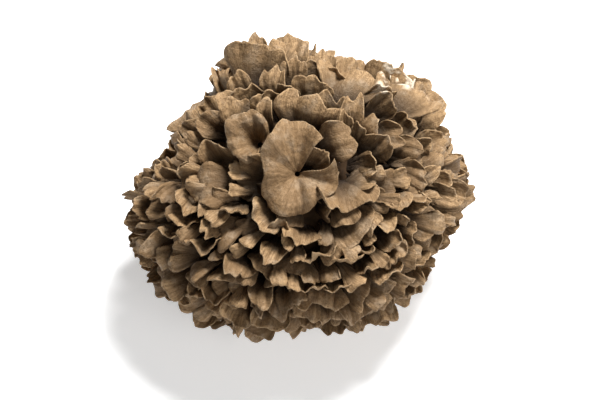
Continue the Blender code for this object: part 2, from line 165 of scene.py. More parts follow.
def make_cap(tip, heading, upper, length, width, cup, dice, unrest=1.0):
    """One cap: its centreline from a root in the middle to the rim, and its own waves."""
    twist = math.radians(dice.uniform(-MOST_TWIST, MOST_TWIST)) * unrest
    yaw = math.radians(dice.uniform(-MOST_YAW, MOST_YAW)) * unrest
    upper = turned_about(upper, heading, twist)
    heading = turned_about(heading, upper, yaw)
    elbow = tip - BLADE_SHARE * length * heading
    inward = elbow - MIDDLE
    root_reach = (CORE_SHARE - ROOT_SINK) * skin_radius(unit(inward))
    root = MIDDLE + unit(inward) * min(root_reach, np.linalg.norm(inward))
    return {
        "root": root,
        "elbow": elbow,
        "tip": tip,
        "side": unit(np.cross(heading, upper)),
        "width": width,
        "stalk": 0.10 * width + 0.002,
        "cup": math.radians(cup) * dice.uniform(0.85, 1.15),
        "wave": width * dice.uniform(0.06, 0.16),
        "waves": dice.uniform(1.3, 3.2),
        "phase": dice.uniform(0, math.tau),
        "lobe": dice.uniform(0.01, 0.045),
        "lobes": dice.uniform(2.0, 4.5),
        "roll": dice.uniform(-0.24, 0.10) * length,
        "skew": dice.uniform(-0.14, 0.14),
        "screw": dice.uniform(-0.4, 0.4) * unrest,
        **PLAIN,
    }


def moved_in(cap, back):
    """The cap with its blade moved back by a vector, while its root stays."""
    cap["tip"] = cap["tip"] - back
    cap["elbow"] = cap["elbow"] - back
    return cap


def settled(cap, proud=0):
    """The cap, drawn in until its rim stands no further out of the skin than it may."""
    rim = sheet(cap, np.ones(9), np.linspace(-1, 1, 9)) - MIDDLE
    over = max(np.linalg.norm(point) - skin_radius(unit(point)) for point in rim)
    return moved_in(cap, max(0, over - PROUD_RIM - proud) * unit(cap["tip"] - MIDDLE))

# %% [markdown]
# ## The caps of the face
# The large caps at the front each have a place of their own, so they are listed: where the
# middle of the rim is, which way the cap heads, how long and wide it is, how far it leans out
# and how strongly it cups. Some stand proud of the skin. A second list holds the small caps
# that stand between them.
# %% caps placed one by one
# Rim across and up (mm), heading clockwise from up (degrees), length and width (mm), lean and
# cup (degrees), and for some how far the rim stands proud (mm).
FACE_CAPS = (
    # crown
    (-30, 111, 8, 58, 50, 26, 25, 12), (-33, 121, 5, 40, 16, 20, 20, 4), (-7, 114, 12, 46, 30, 25, 25, 6),
    (-60, 98, 338, 48, 26, 28, 30), (-5, 97, 10, 38, 20, 35, 30),
    (-40, 79, 355, 40, 29, 42, 15), (-21, 85, 5, 34, 20, 40, 25), (-8, 80, 5, 38, 18, 42, 50),
    (11, 83, 12, 42, 30, 38, 20), (-74, 69, 315, 38, 20, 36, 30),
    (-27, 71, 355, 34, 23, 46, 20), (-47, 65, 345, 38, 28, 42, 15),
    # upper right
    (17, 102, 10, 40, 22, 32, 20), (24, 95, 12, 40, 36, 36, 10), (48, 102, 20, 46, 28, 28, 25),
    (76, 96, 30, 50, 38, 26, 20), (108, 76, 62, 64, 46, 28, 30, 8), (67, 80, 40, 48, 21, 38, 65),
    (73, 66, 55, 42, 21, 40, 50), (87, 55, 65, 40, 20, 38, 40), (23, 67, 15, 50, 34, 46, 60, 2),
    (40, 60, 15, 50, 22, 52, 65), (75, 38, 110, 46, 22, 44, 50),
    (88, 24, 110, 44, 25, 42, 35), (109, 38, 65, 38, 20, 34, 30),
    (126, 40, 55, 52, 32, 28, 30), (133, 20, 80, 36, 18, 26, 25),
    (137, -1, 90, 52, 36, 24, 20),
    # left
    (-60, 34, 345, 54, 34, 38, 20, 5), (-73, 52, 310, 36, 22, 42, 30),
    (-88, 48, 300, 36, 20, 36, 30), (-103, 36, 285, 48, 27, 32, 20),
    (-117, 25, 310, 52, 33, 30, 40), (-87, 19, 340, 36, 18, 46, 60),
    (-79, 21, 310, 34, 20, 44, 20), (-104, -9, 215, 32, 17, 48, -15), (-87, -13, 205, 36, 22, 50, -15),
    (-134, 5, 285, 40, 20, 26, 30), (-127, -17, 255, 40, 18, 32, 25),
    (-138, -21, 262, 34, 16, 22, 20), (-49, -22, 190, 36, 20, 55, -15),
    # around the hub
    (13, 28, 28, 30, 24, 40, -15, 6), (34, 37, 68, 42, 30, 44, 20, 1), (36, 53, 15, 46, 15, 50, 70),
    (47, 48, 25, 44, 14, 50, 70), (63, 38, 52, 46, 26, 44, 35), (9, 65, 5, 52, 48, 42, 25, 4),
    (41, -17, 163, 46, 48, 30, 25, 8), (58, 14, 100, 36, 20, 46, 30),
    # lower left
    (-130, -30, 255, 40, 16, 26, 25), (-100, -39, 205, 34, 18, 50, 30), (-87, -30, 200, 32, 27, 55, 30),
    (-71, -48, 192, 38, 31, 60, 40), (-112, -45, 235, 36, 18, 42, 30),
    (-124, -55, 240, 42, 20, 30, 20), (-136, -46, 252, 36, 15, 22, 20),
    (-118, -70, 240, 40, 12, 22, 15), (-44, -62, 190, 36, 27, 60, 45), (-30, -81, 185, 36, 21, 58, 70),
    (-67, -82, 205, 40, 23, 46, 35), (-98, -88, 232, 38, 20, 28, 25),
    (-78, -102, 215, 36, 19, 26, 20), (-47, -116, 195, 44, 37, 22, -15),
    # lower middle
    (-20, -49, 180, 32, 20, 62, 45), (2, -38, 175, 32, 28, 62, 20),
    (16, -55, 170, 42, 28, 58, 55), (36, -58, 165, 34, 25, 60, 50), (49, -52, 165, 34, 17, 58, 75),
    (8, -78, 178, 34, 26, 55, 40), (29, -77, 170, 34, 25, 55, 45),
    (-9, -89, 182, 38, 19, 48, 45), (-16, -114, 185, 42, 33, 24, -15), (9, -105, 178, 36, 18, 32, 20),
    (28, -119, 172, 44, 25, 20, -10), (55, -108, 160, 42, 40, 24, -15),
    # right
    (90, 5, 115, 40, 23, 46, 40), (93, -16, 135, 34, 18, 48, 40),
    (116, -9, 115, 36, 20, 38, 75),
    (127, -6, 105, 36, 20, 30, 40), (110, -43, 130, 50, 32, 36, 35), (67, -28, 150, 32, 19, 56, 40),
    (87, -38, 135, 34, 20, 50, 40), (71, -53, 160, 32, 25, 54, 35),
    (95, -60, 140, 40, 23, 42, 40), (68, -67, 160, 30, 24, 50, 20), (90, -74, 145, 34, 16, 40, 40),
    (85, -84, 150, 34, 17, 34, 35), (125, -29, 110, 40, 22, 26, 25), (118, -50, 120, 38, 20, 26, 25),
    (100, -76, 135, 40, 22, 28, 20),
)

SMALL_FACE_CAPS = (
    (-27, 61, 0, 32, 13, 50, 50), (-101, 49, 285, 34, 11, 22, 20), (-117, -3, 240, 30, 14, 40, -10),
    (-68, -18, 185, 34, 13, 54, -10), (-125, -62, 245, 34, 11, 22, 15), (99, 11, 30, 28, 13, 48, 35),
    (115, 4, 95, 34, 14, 38, 30), (-82, -80, 215, 34, 15, 44, 40), (-15, -28, 350, 26, 16, 64, 35),
    (100, 31, 70, 32, 16, 40, 30), (-57, 70, 335, 34, 17, 42, 25),
    (50, -65, 165, 30, 17, 55, 40), (-107, 17, 350, 32, 15, 44, 45), (88, 45, 75, 32, 16, 42, 30),
    (76, -14, 150, 32, 20, 54, 40), (-67, -33, 190, 30, 17, 58, 30), (70, -43, 155, 34, 19, 56, 45),
    (-50, 86, 350, 38, 18, 38, 30), (55, 49, 30, 36, 16, 48, 45),
)
print(len(FACE_CAPS), "large caps and", len(SMALL_FACE_CAPS), "small ones on the face")

# %% [markdown]
# ## The funnels at the hub
# The growth began at the hub, and there two sheets stand open as funnels. Their rims curl too
# much for a fan's formula, so each rim is a short list, eased as the outline is.
# %% two funnels
# Where the throat is (across, up) and how deep it lies (mm), then the rim as bearing clockwise
# from up (degrees), reach and height (mm).
FUNNELS = (
    ((-2, 9.5), 13, (
        (68, 29, 10), (92, 29, 1), (108, 31, -4), (140, 25, 4), (172, 29, -4), (205, 33, 3),
        (234, 30, -3), (270, 24, 6), (322, 34, 13), (348, 41, 0), (366, 38, -9), (396, 32, 12),
    )),
    ((-30, 32), 20, (
        (170, 9, -3), (222, 18, 1), (270, 23, 5), (305, 29, 3), (340, 25, 5), (412, 10, -4),
    )),
)
print(len(FUNNELS), "funnels")

# %% [markdown]
# ## Caps of the face and funnels
# The lists become caps here. Low on the face caps hang like shelves, so they lean out further
# than the list says. A funnel is described as a cap is, so that later steps can treat it as one,
# but its rim follows its own list of bearings.
# %% caps and funnels from the lists
LOWER_LEAN = 18  # how much further the lower caps of the face lean out, in degrees
LEANS_FULLY_AT = 60  # how far below the middle they lean that much, in mm
LISTED_UNREST = 0.8  # listed caps stray less from their places than filling ones
FUNNEL_STALK = 0.030
FUNNEL_PROUD = 0.004  # how far a funnel's mouth stands out of the skin


def face_caps(places=FACE_CAPS, seed=SEED):
    """The caps of the rosette's face, each in its stated place."""
    dice = random.Random(seed)
    caps = []
    for across, up, turn, length, width, lean, cup, *proud in places:
        lower = min(1, max(0, -up / LEANS_FULLY_AT))
        turn, lean = math.radians(turn), math.radians(lean + LOWER_LEAN * lower)
        plane = math.sin(turn) * ACROSS + math.cos(turn) * UPWARD
        heading = math.cos(lean) * plane + math.sin(lean) * OUTWARD
        upper = math.cos(lean) * OUTWARD - math.sin(lean) * plane
        proud = sum(proud) * MM
        tip = face_point(across * MM, up * MM) + proud * OUTWARD
        cap = make_cap(tip, heading, upper, length * MM, width * MM, cup, dice, LISTED_UNREST)
        caps.append(settled(cap, proud))
    return caps


def hub_funnels():
    """The sheets that open as funnels, described as caps are, with a rim all their own."""
    dice = random.Random(SEED + 8)
    funnels = []
    for (across, up), deep, rim in FUNNELS:
        first, last = math.radians(rim[0][0]), math.radians(rim[-1][0])
        mouth = face_point(across * MM, up * MM) + FUNNEL_PROUD * OUTWARD
        middle = (first + last) / 2
        reach = eased(rim, math.degrees(middle))
        funnels.append({
            "rim": rim,
            "mouth": mouth,
            "deep": deep * MM,
            "bearing": middle,
            "half_turn": (last - first) / 2,
            "root": mouth - (deep * MM + FUNNEL_STALK) * OUTWARD,
            "elbow": mouth,
            "tip": mouth + reach * (math.sin(middle) * ACROSS + math.cos(middle) * UPWARD),
            "width": reach * (last - first) * 0.6,
            "wave": dice.uniform(0.0018, 0.0026),
            "waves": dice.uniform(9.0, 12.0),
            "phase": dice.uniform(0, math.tau),
            "roll": -0.006,
            **PLAIN,
        })
    return funnels

# %% [markdown]
# ## Caps by rule
# Where the lists leave room, and over the sides and the back, spots spread evenly over a sphere
# by the golden angle each try to grow one more cap. A spot fails if its cap would stand too near
# to one that is there. Near the hub caps lean well out, and further round they lie flatter.
# %% fill the rest of the cluster
FILL_SPOTS = 1000
FILL_GAP = 0.0225
SPOT_SHIFT = 0.06  # how far a spot may stray from its even place
SIZE_SPREAD = 0.2  # how much larger or smaller a filling cap may be, as a share
LOWEST_TIP = 0.010
HUB_LEAN = 50  # how far caps at the hub lean out, in degrees
LEAN_FALL = 0.34  # how much less they lean for each degree away from the hub
LEAST_LEAN = 16
SHELF_LEAN = 34  # how much further they lean where they hang in shelves, at most
STEEPEST_DROP = -0.12  # no cap heads down more than this
FILL_LENGTH, LONGER_BEHIND = 0.042, 0.008
FILL_WIDTH, WIDER_BEHIND = 0.035, 0.010


def cover_spot(cap):
    """The middle of a cap's blade."""
    return (cap["tip"] + cap["elbow"]) / 2


def fill_caps(taken, spots=FILL_SPOTS, gap=FILL_GAP, scale=1.0, seed=SEED + 1, sunk=0.0,
              unrest=1.0, cups=(0, 60)):
    """Caps over the back, the sides and what the face leaves open, by a seeded rule."""
    dice = random.Random(seed)
    golden = math.pi * (3 - math.sqrt(5))
    centres = [cover_spot(cap) for cap in taken]
    caps = []
    for index in range(spots):
        rise = 1 - 2 * (index + 0.5) / spots
        ring = math.sqrt(1 - rise * rise)
        turn = golden * index
        spot = np.array((ring * math.cos(turn), ring * math.sin(turn), rise))
        spot = unit(spot + np.array([dice.uniform(-SPOT_SHIFT, SPOT_SHIFT) for _ in range(3)]))
        size = dice.uniform(1 - SIZE_SPREAD * unrest, 1 + SIZE_SPREAD * unrest)
        cup = dice.uniform(*cups)
        slack = dice.uniform(0.94, 1.03)
        tip = MIDDLE + spot * skin_radius(spot) * (slack - sunk)
        if tip[2] < LOWEST_TIP:
            continue
        from_hub = math.degrees(math.acos(max(-1, min(1, spot @ OUTWARD))))
        away = unit((spot @ OUTWARD) * spot - OUTWARD)
        shelf = SHELF_LEAN * max(0, -spot @ UPWARD) * max(0, spot @ OUTWARD + 0.3)
        lean = math.radians(max(LEAST_LEAN, HUB_LEAN - LEAN_FALL * from_hub) + shelf)
        heading = math.cos(lean) * away + math.sin(lean) * spot
        heading = unit(np.array((heading[0], heading[1], max(heading[2], STEEPEST_DROP))))
        raised = math.cos(lean) * spot - math.sin(lean) * away
        upper = unit(np.cross(np.cross(heading, raised), heading))
        length = size * (FILL_LENGTH + LONGER_BEHIND * spot[1]) * (1 + scale) / 2
        width = size * (FILL_WIDTH + WIDER_BEHIND * max(0, spot[1])) * scale
        cap = make_cap(tip, heading, upper, length, width, cup, dice, unrest)
        cap["opens"] = OPENS + 0.45 * (1 - scale)
        cap["square"] = SQUARE + 0.36 * (1 - scale)
        cap["screw"] /= unrest
        cap = settled(cap)
        if min(np.linalg.norm(cover_spot(cap) - centre) for centre in centres) > gap:
            caps.append(cap)
            centres.append(cover_spot(cap))
    return caps

# %% [markdown]
# ## Close-up detail
# A real cap's rim is cut into a few lobes, some spooned up and some down, with fine teeth and now and
# then a crack. These are drawn here and kept with the cap, as is its tone. Caps at the crown are broader
# and calmer than the rest, and painted paler as painted light; the funnels get a darker tone as painted
# shade.
# %% draw the detail of a cap
CROWN_FROM = 0.045  # above this the face has only large caps
CROWN_EASE = 0.03  # how much further up the crown's ways hold in full
LOBE_WIDTH = 0.018  # about how wide one lobe of a rim is
NARROW = 0.021  # a cap no wider than this has a single lobe
# A dark tone for the funnels: painted shade at the hub.
FUNNEL_SHADE_TONE = 0.82
# Rim teeth in three sizes: fewest and most across the rim, least and greatest depth.
TEETH = ((5, 9, 0.002, 0.009), (11, 17, 0.002, 0.005), (22, 34, 0.001, 0.003))


def face_place(cap):
    """Where a cap's tip is from the middle: across the face, up it and out of it."""
    away = cap["tip"] - MIDDLE
    return away @ ACROSS, away @ UPWARD, away @ OUTWARD


def give_detail(cap, dice):
    """Draws what only shows close up: rim teeth, cracks, lobes, ruffles and tone, painted lighter at the
    crown and darker on the funnels.
    """
    cap["teeth"] = [(dice.uniform(fewest, most), dice.uniform(least, greatest))
                    for fewest, most, least, greatest in TEETH]
    cap["cracks"] = [(dice.uniform(-0.8, 0.8), dice.uniform(0.03, 0.06), dice.uniform(0.02, 0.07))
                     for _ in range(dice.choice((0, 0, 0, 1)))]
    lobes = dice.choice((0, 1, 1, 2)) + round(cap["width"] / LOBE_WIDTH) + int("rim" in cap) * 2
    lobes = max(1, lobes) if cap["width"] > NARROW else 1
    splits = [-1 + 2 * (step + dice.uniform(-0.22, 0.22)) / lobes for step in range(1, lobes)]
    cap["splits"] = (-1, *splits, 1)
    cap["notches"] = (0, *(dice.uniform(0.005, 0.07) for _ in splits), 0)
    bulge = min(cap["width"], 0.045) / lobes
    cap["spoons"] = [bulge * dice.uniform(0.05, 0.32) * dice.choice((-1, 1, 1))
                     for _ in range(lobes)]
    cap["waves"] = min(cap["waves"], 12 if "rim" in cap else 2.4)
    cap["ruffle"] = dice.uniform(0.010, 0.036) * cap["width"] + 0.0002
    cap["ruffles"] = dice.uniform(6.0, 11.0)
    cap["fold"] = dice.uniform(0.01, 0.045) * cap["width"]
    cap["folds"] = dice.uniform(3.5, 6.0)
    cap["shift"] = dice.uniform(0, math.tau)
    # Crown caps get lower tones, so they are painted paler: painted light at the top.
    crowning = np.clip((face_place(cap)[1] - CROWN_FROM) / CROWN_EASE, 0, 1)
    cap["tone_and_light"] = dice.random() * (1 - 0.75 * crowning)
    cap["square"] += 0.06 + 0.08 * crowning
    cap["wave"] *= 1 - 0.3 * crowning
    if "rim" in cap:
        cap["teeth"] = [(3 * number, 2.5 * depth) for number, depth in cap["teeth"]]
        # Funnels get a dark tone: painted shade at the hub.
        cap["tone_and_light"] = FUNNEL_SHADE_TONE


def lobe_place(cap, side):
    """Which lobe of the rim a place lies in, and where across that lobe, -1 to 1."""
    splits = np.array(cap["splits"])
    lobe = np.clip(np.searchsorted(splits, side, side="right") - 1, 0, len(splits) - 2)
    return lobe, 2 * (side - splits[lobe]) / (splits[lobe + 1] - splits[lobe]) - 1


def ragged(cap, side):
    """How far the rim reaches past or short of its plain arc, as a share of the length."""
    reach = np.zeros_like(side)
    for number, depth in cap["teeth"]:
        reach = reach + depth * np.sin(number * side + cap["shift"] * number)
    for place, half, depth in cap["cracks"]:
        reach = reach - depth * np.clip(1 - np.abs(side - place) / half, 0, 1)
    lobe, place = lobe_place(cap, side)
    notch = np.array(cap["notches"])[lobe + (place > 0)]
    return reach - notch * np.abs(place) ** 5


def ruffles(cap, run, side):
    """Fine waves and spooned lobes that grow towards the rim, with folds along the fan."""
    grow = np.clip(run, 0, 1.2) ** 3
    fine = cap["ruffle"] * grow * np.sin(cap["ruffles"] * side + cap["shift"])
    fine = fine + 0.5 * cap["ruffle"] * grow * np.sin(2.6 * cap["ruffles"] * side + 3 * cap["shift"])
    lobe, place = lobe_place(cap, side)
    spoon = np.array(cap["spoons"])[lobe] * (1 - place ** 2) ** 1.5 * grow
    fold = cap["fold"] * np.clip(run - 0.25, 0, 1) * np.sin(cap["folds"] * side + 2 * cap["shift"])
    lump = 0.0004 * np.sin(31 * run + 5 * side + cap["phase"]) * np.sin(9 * side - 14 * run)
    return fine + spoon + fold + lump

# %% [markdown]
# ## The sheet of a cap
# `sheet` gives the points of a cap's middle sheet for a place along it and across it. The
# centreline is a curve through root, elbow and tip, and the blade opens from it like a fan, bent
# by its cup and its waves. The solid's coarse blades come from the same formula. A funnel has a
# formula of its own: a stalk that flares all round, with a slit where its two sides overlap.
# %% one formula for caps and one for funnels
STALK_SHARE = 0.25  # how much of a funnel's length is its stalk
STALK_RADIUS = 0.0024
SLIT_CURL = -0.16  # how far a funnel's slit bows between the throat and the rim, in radians
CORNERS = 2.8  # 2 rounds the end of a blade like an ellipse, and more squares it
OPEN_AT = 0.91  # where along its length a blade has its full width
HALF_WIDTH = 0.62  # half of a blade's breadth, waves laid flat, as a share of its stated width


def funnel_sheet(cap, along, side):
    """Points of a funnel: a thin stalk that flares into a rim of its own reach all round."""
    bearing = cap["bearing"] + cap["half_turn"] * side
    bearing = bearing + SLIT_CURL * (side ** 5 - 0.5 * side ** 4) * np.sin(math.pi * along ** 2)
    reach, stand = np.array([(eased(cap["rim"], degrees), eased(cap["rim"], degrees, 2))
                             for degrees in np.degrees(bearing)]).T
    flare = np.clip((along - STALK_SHARE) / (1 - STALK_SHARE), 0, 1)
    radius = STALK_RADIUS + (reach * (1 + ragged(cap, side)) - STALK_RADIUS) * flare ** 1.15
    height = -cap["deep"] * (1 - flare) ** 1.9 - FUNNEL_STALK * np.clip(1 - along / STALK_SHARE, 0, 1)
    swell = np.sin(cap["waves"] * side + cap["phase"]) + 0.5 * np.sin(2.3 * cap["waves"] * side)
    height = height + (stand + cap["wave"] * swell) * flare ** 1.3
    height = height + cap["roll"] * np.clip(flare - 0.7, 0, 1) ** 2 * 8
    height = height + ruffles(cap, flare, side)
    spoke = np.sin(bearing)[:, None] * ACROSS + np.cos(bearing)[:, None] * UPWARD
    return cap["mouth"] + radius[:, None] * spoke + height[:, None] * OUTWARD


def sheet(cap, along, side):
    """Points of a cap's middle sheet, along 0 at the root to 1 at the rim, side -1 to 1."""
    along, side = np.asarray(along, float), np.asarray(side, float)
    if "rim" in cap:
        return funnel_sheet(cap, along, side)
    root, elbow, tip = cap["root"], cap["elbow"], cap["tip"]
    square = cap["square"]
    rounded = square + (1 - square) * (1 - np.abs(side) ** CORNERS) ** (1 / CORNERS)
    edge = 1 + cap["lobe"] * np.sin(cap["lobes"] * side * 2 + cap["phase"]) + cap["skew"] * side
    edge = edge + ragged(cap, side)
    run = (along * rounded * (1 + (edge - 1) * along ** 2))[:, None]
    line = (1 - run) ** 2 * root + 2 * run * (1 - run) * elbow + run ** 2 * tip
    slope = 2 * (1 - run) * (elbow - root) + 2 * run * (tip - elbow)
    rise = np.cross(cap["side"], slope)
    rise /= np.linalg.norm(rise, axis=1)[:, None]
    run = run[:, 0]
    spread = np.clip((run - cap["opens"]) / (OPEN_AT - cap["opens"]), 0, 1)
    spread = spread * spread * (3 - 2 * spread)
    half = cap["stalk"] + (HALF_WIDTH * cap["width"] - cap["stalk"]) * spread
    bend = cap["cup"] * spread + 1e-6
    turn = side * bend
    out = half / bend * np.sin(turn)
    lift = half / np.abs(bend) * (1 - np.cos(turn)) * np.sign(bend)
    swell = np.sin(cap["waves"] * side * 2 + cap["phase"])
    swell = swell + 0.4 * np.sin(cap["waves"] * side * 4.7 - 2 * cap["phase"])
    lift = lift + 0.8 * cap["wave"] * run ** 2.5 * swell
    lift = lift + cap["roll"] * np.clip(run - 0.72, 0, 1) ** 2 * 12
    lift = lift + ruffles(cap, run, side)
    spin = cap["screw"] * run ** 2
    out, lift = out * np.cos(spin) - lift * np.sin(spin), out * np.sin(spin) + lift * np.cos(spin)
    return line + out[:, None] * cap["side"] + lift[:, None] * rise

# %% [markdown]
# ## Grow the cluster
# Large caps come first: the listed ones, then those that the rule finds room for. Two finer
# fillings follow, young caps and the smallest ones, mostly humped like shells. The big sheets
# round the hub stand free, so large filling caps are left out there and small ones grow deeper.
# %% large caps first, then ever smaller ones
SHELL_CUPS = (-42, 28)  # how small caps bend, in degrees, where below 0 is humped
YOUNG = {"spots": 1300, "gap": 0.0145, "scale": 0.62, "seed": SEED + 4, "sunk": 0.05, "unrest": 2.0}
SMALLEST = {"spots": 2600, "gap": 0.0112, "scale": 0.44, "seed": SEED + 6, "sunk": 0.02, "unrest": 2.2}
funnels = hub_funnels()
front = face_caps()
fill = fill_caps(front + funnels)
print(len(front), "caps on the face and", len(fill), "filled in by rule")
small = face_caps(SMALL_FACE_CAPS, SEED + 3)
young = fill_caps(front + funnels + fill + small, cups=SHELL_CUPS, **YOUNG)
crowd = fill_caps(front + funnels + fill + small + young, cups=SHELL_CUPS, **SMALLEST)
print(len(small), "small caps on the face,", len(young), "young ones and", len(crowd), "smallest")

# %% [markdown]
# ## Thin them out
# Some places are kept for large caps alone. The crown has no small ones on its face, and the hub
# is clear. Behind the crown's edge the filling caps grow broad and flat, like those in front.
# %% clear the hub and the crown
HUB_CLEAR = 0.045  # the big sheets round the hub stand free of other caps
HUB_UP = 0.010  # how far above the face's middle the hub is
UNDER_HUB = -0.019  # below this, small caps may grow close to the hub
SUNK_AT_HUB = 0.014  # how much deeper small caps grow under the big sheets
LARGE_ONLY_FROM = 0.015  # above this the inner part of the face has only large caps
INNER_PART = 0.085  # how far across that inner part reaches
BETWEEN_WIDTH = 0.022  # a cap narrower than this may stand between the large ones
hub = face_point(0, HUB_UP)


def near_hub(cap):
    """Whether a cap's tip is where the big sheets round the hub spread."""
    return np.linalg.norm(cap["tip"] - hub) < HUB_CLEAR


def under_hub_sheets(cap):
    """A small cap, sunk where the big sheets round the hub spread over it."""
    if near_hub(cap) and face_place(cap)[1] > UNDER_HUB:
        moved_in(cap, SUNK_AT_HUB * unit(cap["tip"] - MIDDLE))
    return cap


def among_small_caps(cap):
    """Whether a place is outside the inner part and the crown, where only large caps grow."""
    across, up, out = face_place(cap)
    return up < LARGE_ONLY_FROM or (abs(across) > INNER_PART and up < CROWN_FROM) or out < 0


def below_crown(cap):
    """Whether a cap is narrow enough to stand between the large ones, and below the crown."""
    return cap["width"] < BETWEEN_WIDTH and face_place(cap)[1] < CROWN_FROM


def broadened(cap):
    """A filling cap, broad and flat where it stands behind the crown's edge."""
    if face_place(cap)[1] > CROWN_FROM:
        cap["width"] *= 1.35
        cap["cup"] *= 0.4
        cap["square"] = 0.62
        cap["wave"] *= 0.7
        cap["skew"] *= 0.4
    return cap


fill = [broadened(cap) for cap in fill if not near_hub(cap)]
young = [under_hub_sheets(cap) for cap in young if among_small_caps(cap) or below_crown(cap)]
crowd = [under_hub_sheets(cap) for cap in crowd if among_small_caps(cap)]
print(len(fill), "filling caps,", len(young), "young and", len(crowd), "smallest are left")
detail_dice = random.Random(SEED + 5)
for cap in front + small + fill + young + crowd + funnels:
    give_detail(cap, detail_dice)

# %% [markdown]
# ## Shade and torn skin
# Deep in, between the caps, the materials paint shade into the skin's colour, darker the deeper it lies,
# so each corner stores how deep it lies under the cluster's skin. At the upper right some skin is torn
# off and pale flesh shows, so each corner also stores how far it lies inside one of a few uneven round
# patches.
# %% how deep a corner lies, and where the skin is torn
TORN_SKIN = ((69, 93, 6), (85, 86, 9), (62, 76, 5))  # across, up, radius, mm
TORN_EDGE = 0.0012  # how wide the edge of a torn patch is
UNEVEN = 0.0016  # how far that edge wanders
HALVES = np.array((HALF_ACROSS, HALF_DEEP, HALF_TALL))
BEARINGS = np.arange(0, 361)
OUTLINE_AT = np.array([outline_radius(bearing) for bearing in BEARINGS])


def depth_under_skin(points):
    """How deep points lie under the skin, as a share of the way to the middle."""
    away = points - MIDDLE
    distance = np.linalg.norm(away, axis=1) + 1e-9
    direction = away / distance[:, None]
    plain = 1 / np.linalg.norm(direction / HALVES, axis=1)
    across, up = direction @ ACROSS, direction @ UPWARD
    flat = np.hypot(across, up) + 1e-9
    edge = (across[:, None] * ACROSS + up[:, None] * UPWARD) / flat[:, None]
    plain_edge = 1 / np.linalg.norm(edge / HALVES, axis=1)
    outline = np.interp(np.degrees(np.arctan2(across, up)) % 360, BEARINGS, OUTLINE_AT)
    reach = plain * (1 + (outline / plain_edge - 1) * flat ** OUTLINE_HOLD)
    return 1 - distance / reach


def torn_share(points):
    """How far the skin is torn off at points on the face, 0 to 1, with uneven edges."""
    away = points - MIDDLE
    across, up = away @ ACROSS, away @ UPWARD
    uneven = UNEVEN * (np.sin(900 * across + 400 * up) + np.sin(1300 * up - 500 * across))
    share = np.zeros(len(points))
    for middle_across, middle_up, radius in TORN_SKIN:
        way = np.hypot(across - middle_across * MM, up - middle_up * MM) + uneven
        share = np.maximum(share, np.clip((radius * MM - way) / TORN_EDGE, 0, 1))
    return share * (away @ OUTWARD > 0)


print("outline from", round(float(OUTLINE_AT.min()), 4), "to", round(float(OUTLINE_AT.max()), 4))

# %% [markdown]
# ## From a sheet to flesh
# A cap is a closed skin: the sheet's upper and lower copy, half a thickness apart, and a rounded
# edge that joins them. Building each with modifiers would be slow for hundreds of caps, so numpy
# works out all corners of a cap at once, and `foreach_set` hands them to one mesh per region.
# Six attributes travel with each corner for the materials to read: the place along and across the fibres,
# the way to the rim, which face it is on, the cap's own tone with painted light and shade in it, whether
# the skin is torn there, and how deep it lies, which the materials turn into painted shade.
# %% a closed cap with a rounded rim
ROOT_THICK = 0.0045
RIM_THICK = 0.0009
LOWEST_CAP = 0.004  # no cap hangs lower than this over the floor
ROWS_CLOSER = 1.25  # above 1, rows of corners stand closer together towards the rim
SIDES_CLOSER = 1.42  # the nearer to a quarter turn, the closer columns stand towards the sides
# The two funnel values below limit painted shade on the funnels: less of the depth shade, and less of the
# shade towards the root.
FUNNEL_PAINTED_SHADE = 0.45  # funnels stay lighter than other caps as deep in
FUNNEL_RIM_WAY = 0.009  # and no place on them counts as further from the rim than this


def open_edge(rows, columns):
    """The grid's rows and columns along its open edge: up one side, the rim, and down again."""
    edge = [(row, 0) for row in range(rows)]
    edge += [(rows - 1, column) for column in range(1, columns)]
    edge += [(row, columns - 1) for row in range(rows - 2, -1, -1)]
    return (np.array(part) for part in zip(*edge))


def closed_faces(rows, columns, rim):
    """Quads of the upper and lower skin, the rounded edge between them, and the root."""
    count = rows * columns
    corner = np.arange(count).reshape(rows, columns)
    quads = (corner[:-1, :-1], corner[:-1, 1:], corner[1:, 1:], corner[1:, :-1])
    top = np.stack(quads, axis=2).reshape(-1, 4)
    below = top[:, ::-1] + count
    low_rim = rim + count
    edge = 2 * count + np.arange(len(rim))
    wall_up = np.stack((rim[:-1], rim[1:], edge[1:], edge[:-1]), axis=1)
    wall_down = np.stack((edge[:-1], edge[1:], low_rim[1:], low_rim[:-1]), axis=1)
    near, far = corner[0, :-1], corner[0, 1:]
    root = np.stack((far, near, near + count, far + count), axis=1)
    return np.vstack((top, below, wall_up, wall_down, root))


def closed_points(cap, middle, along, rim_rows, rim_columns):
    """Corners of the upper and lower skin, half a thickness off the sheet, and of the edge."""
    rows, columns = middle.shape[:2]
    normal = np.cross(np.gradient(middle, axis=1), np.gradient(middle, axis=0))
    normal /= np.linalg.norm(normal, axis=2)[:, :, None] + 1e-12
    root_thick = STALK_RADIUS / 2 if "rim" in cap else ROOT_THICK
    thinned = (1 - along.reshape(rows, columns, 1)) ** 1.2
    thick = RIM_THICK + (root_thick - RIM_THICK) * thinned
    upper, lower = middle + normal * thick / 2, middle - normal * thick / 2
    inner_rows = np.minimum(rim_rows, rows - 2)
    inner_columns = np.clip(rim_columns, 1, columns - 2)
    out = middle[rim_rows, rim_columns] - middle[inner_rows, inner_columns]
    out /= np.linalg.norm(out, axis=1)[:, None] + 1e-12
    edge = middle[rim_rows, rim_columns] + out * thick[rim_rows, rim_columns] * 0.45
    return np.vstack((upper.reshape(-1, 3), lower.reshape(-1, 3), edge))


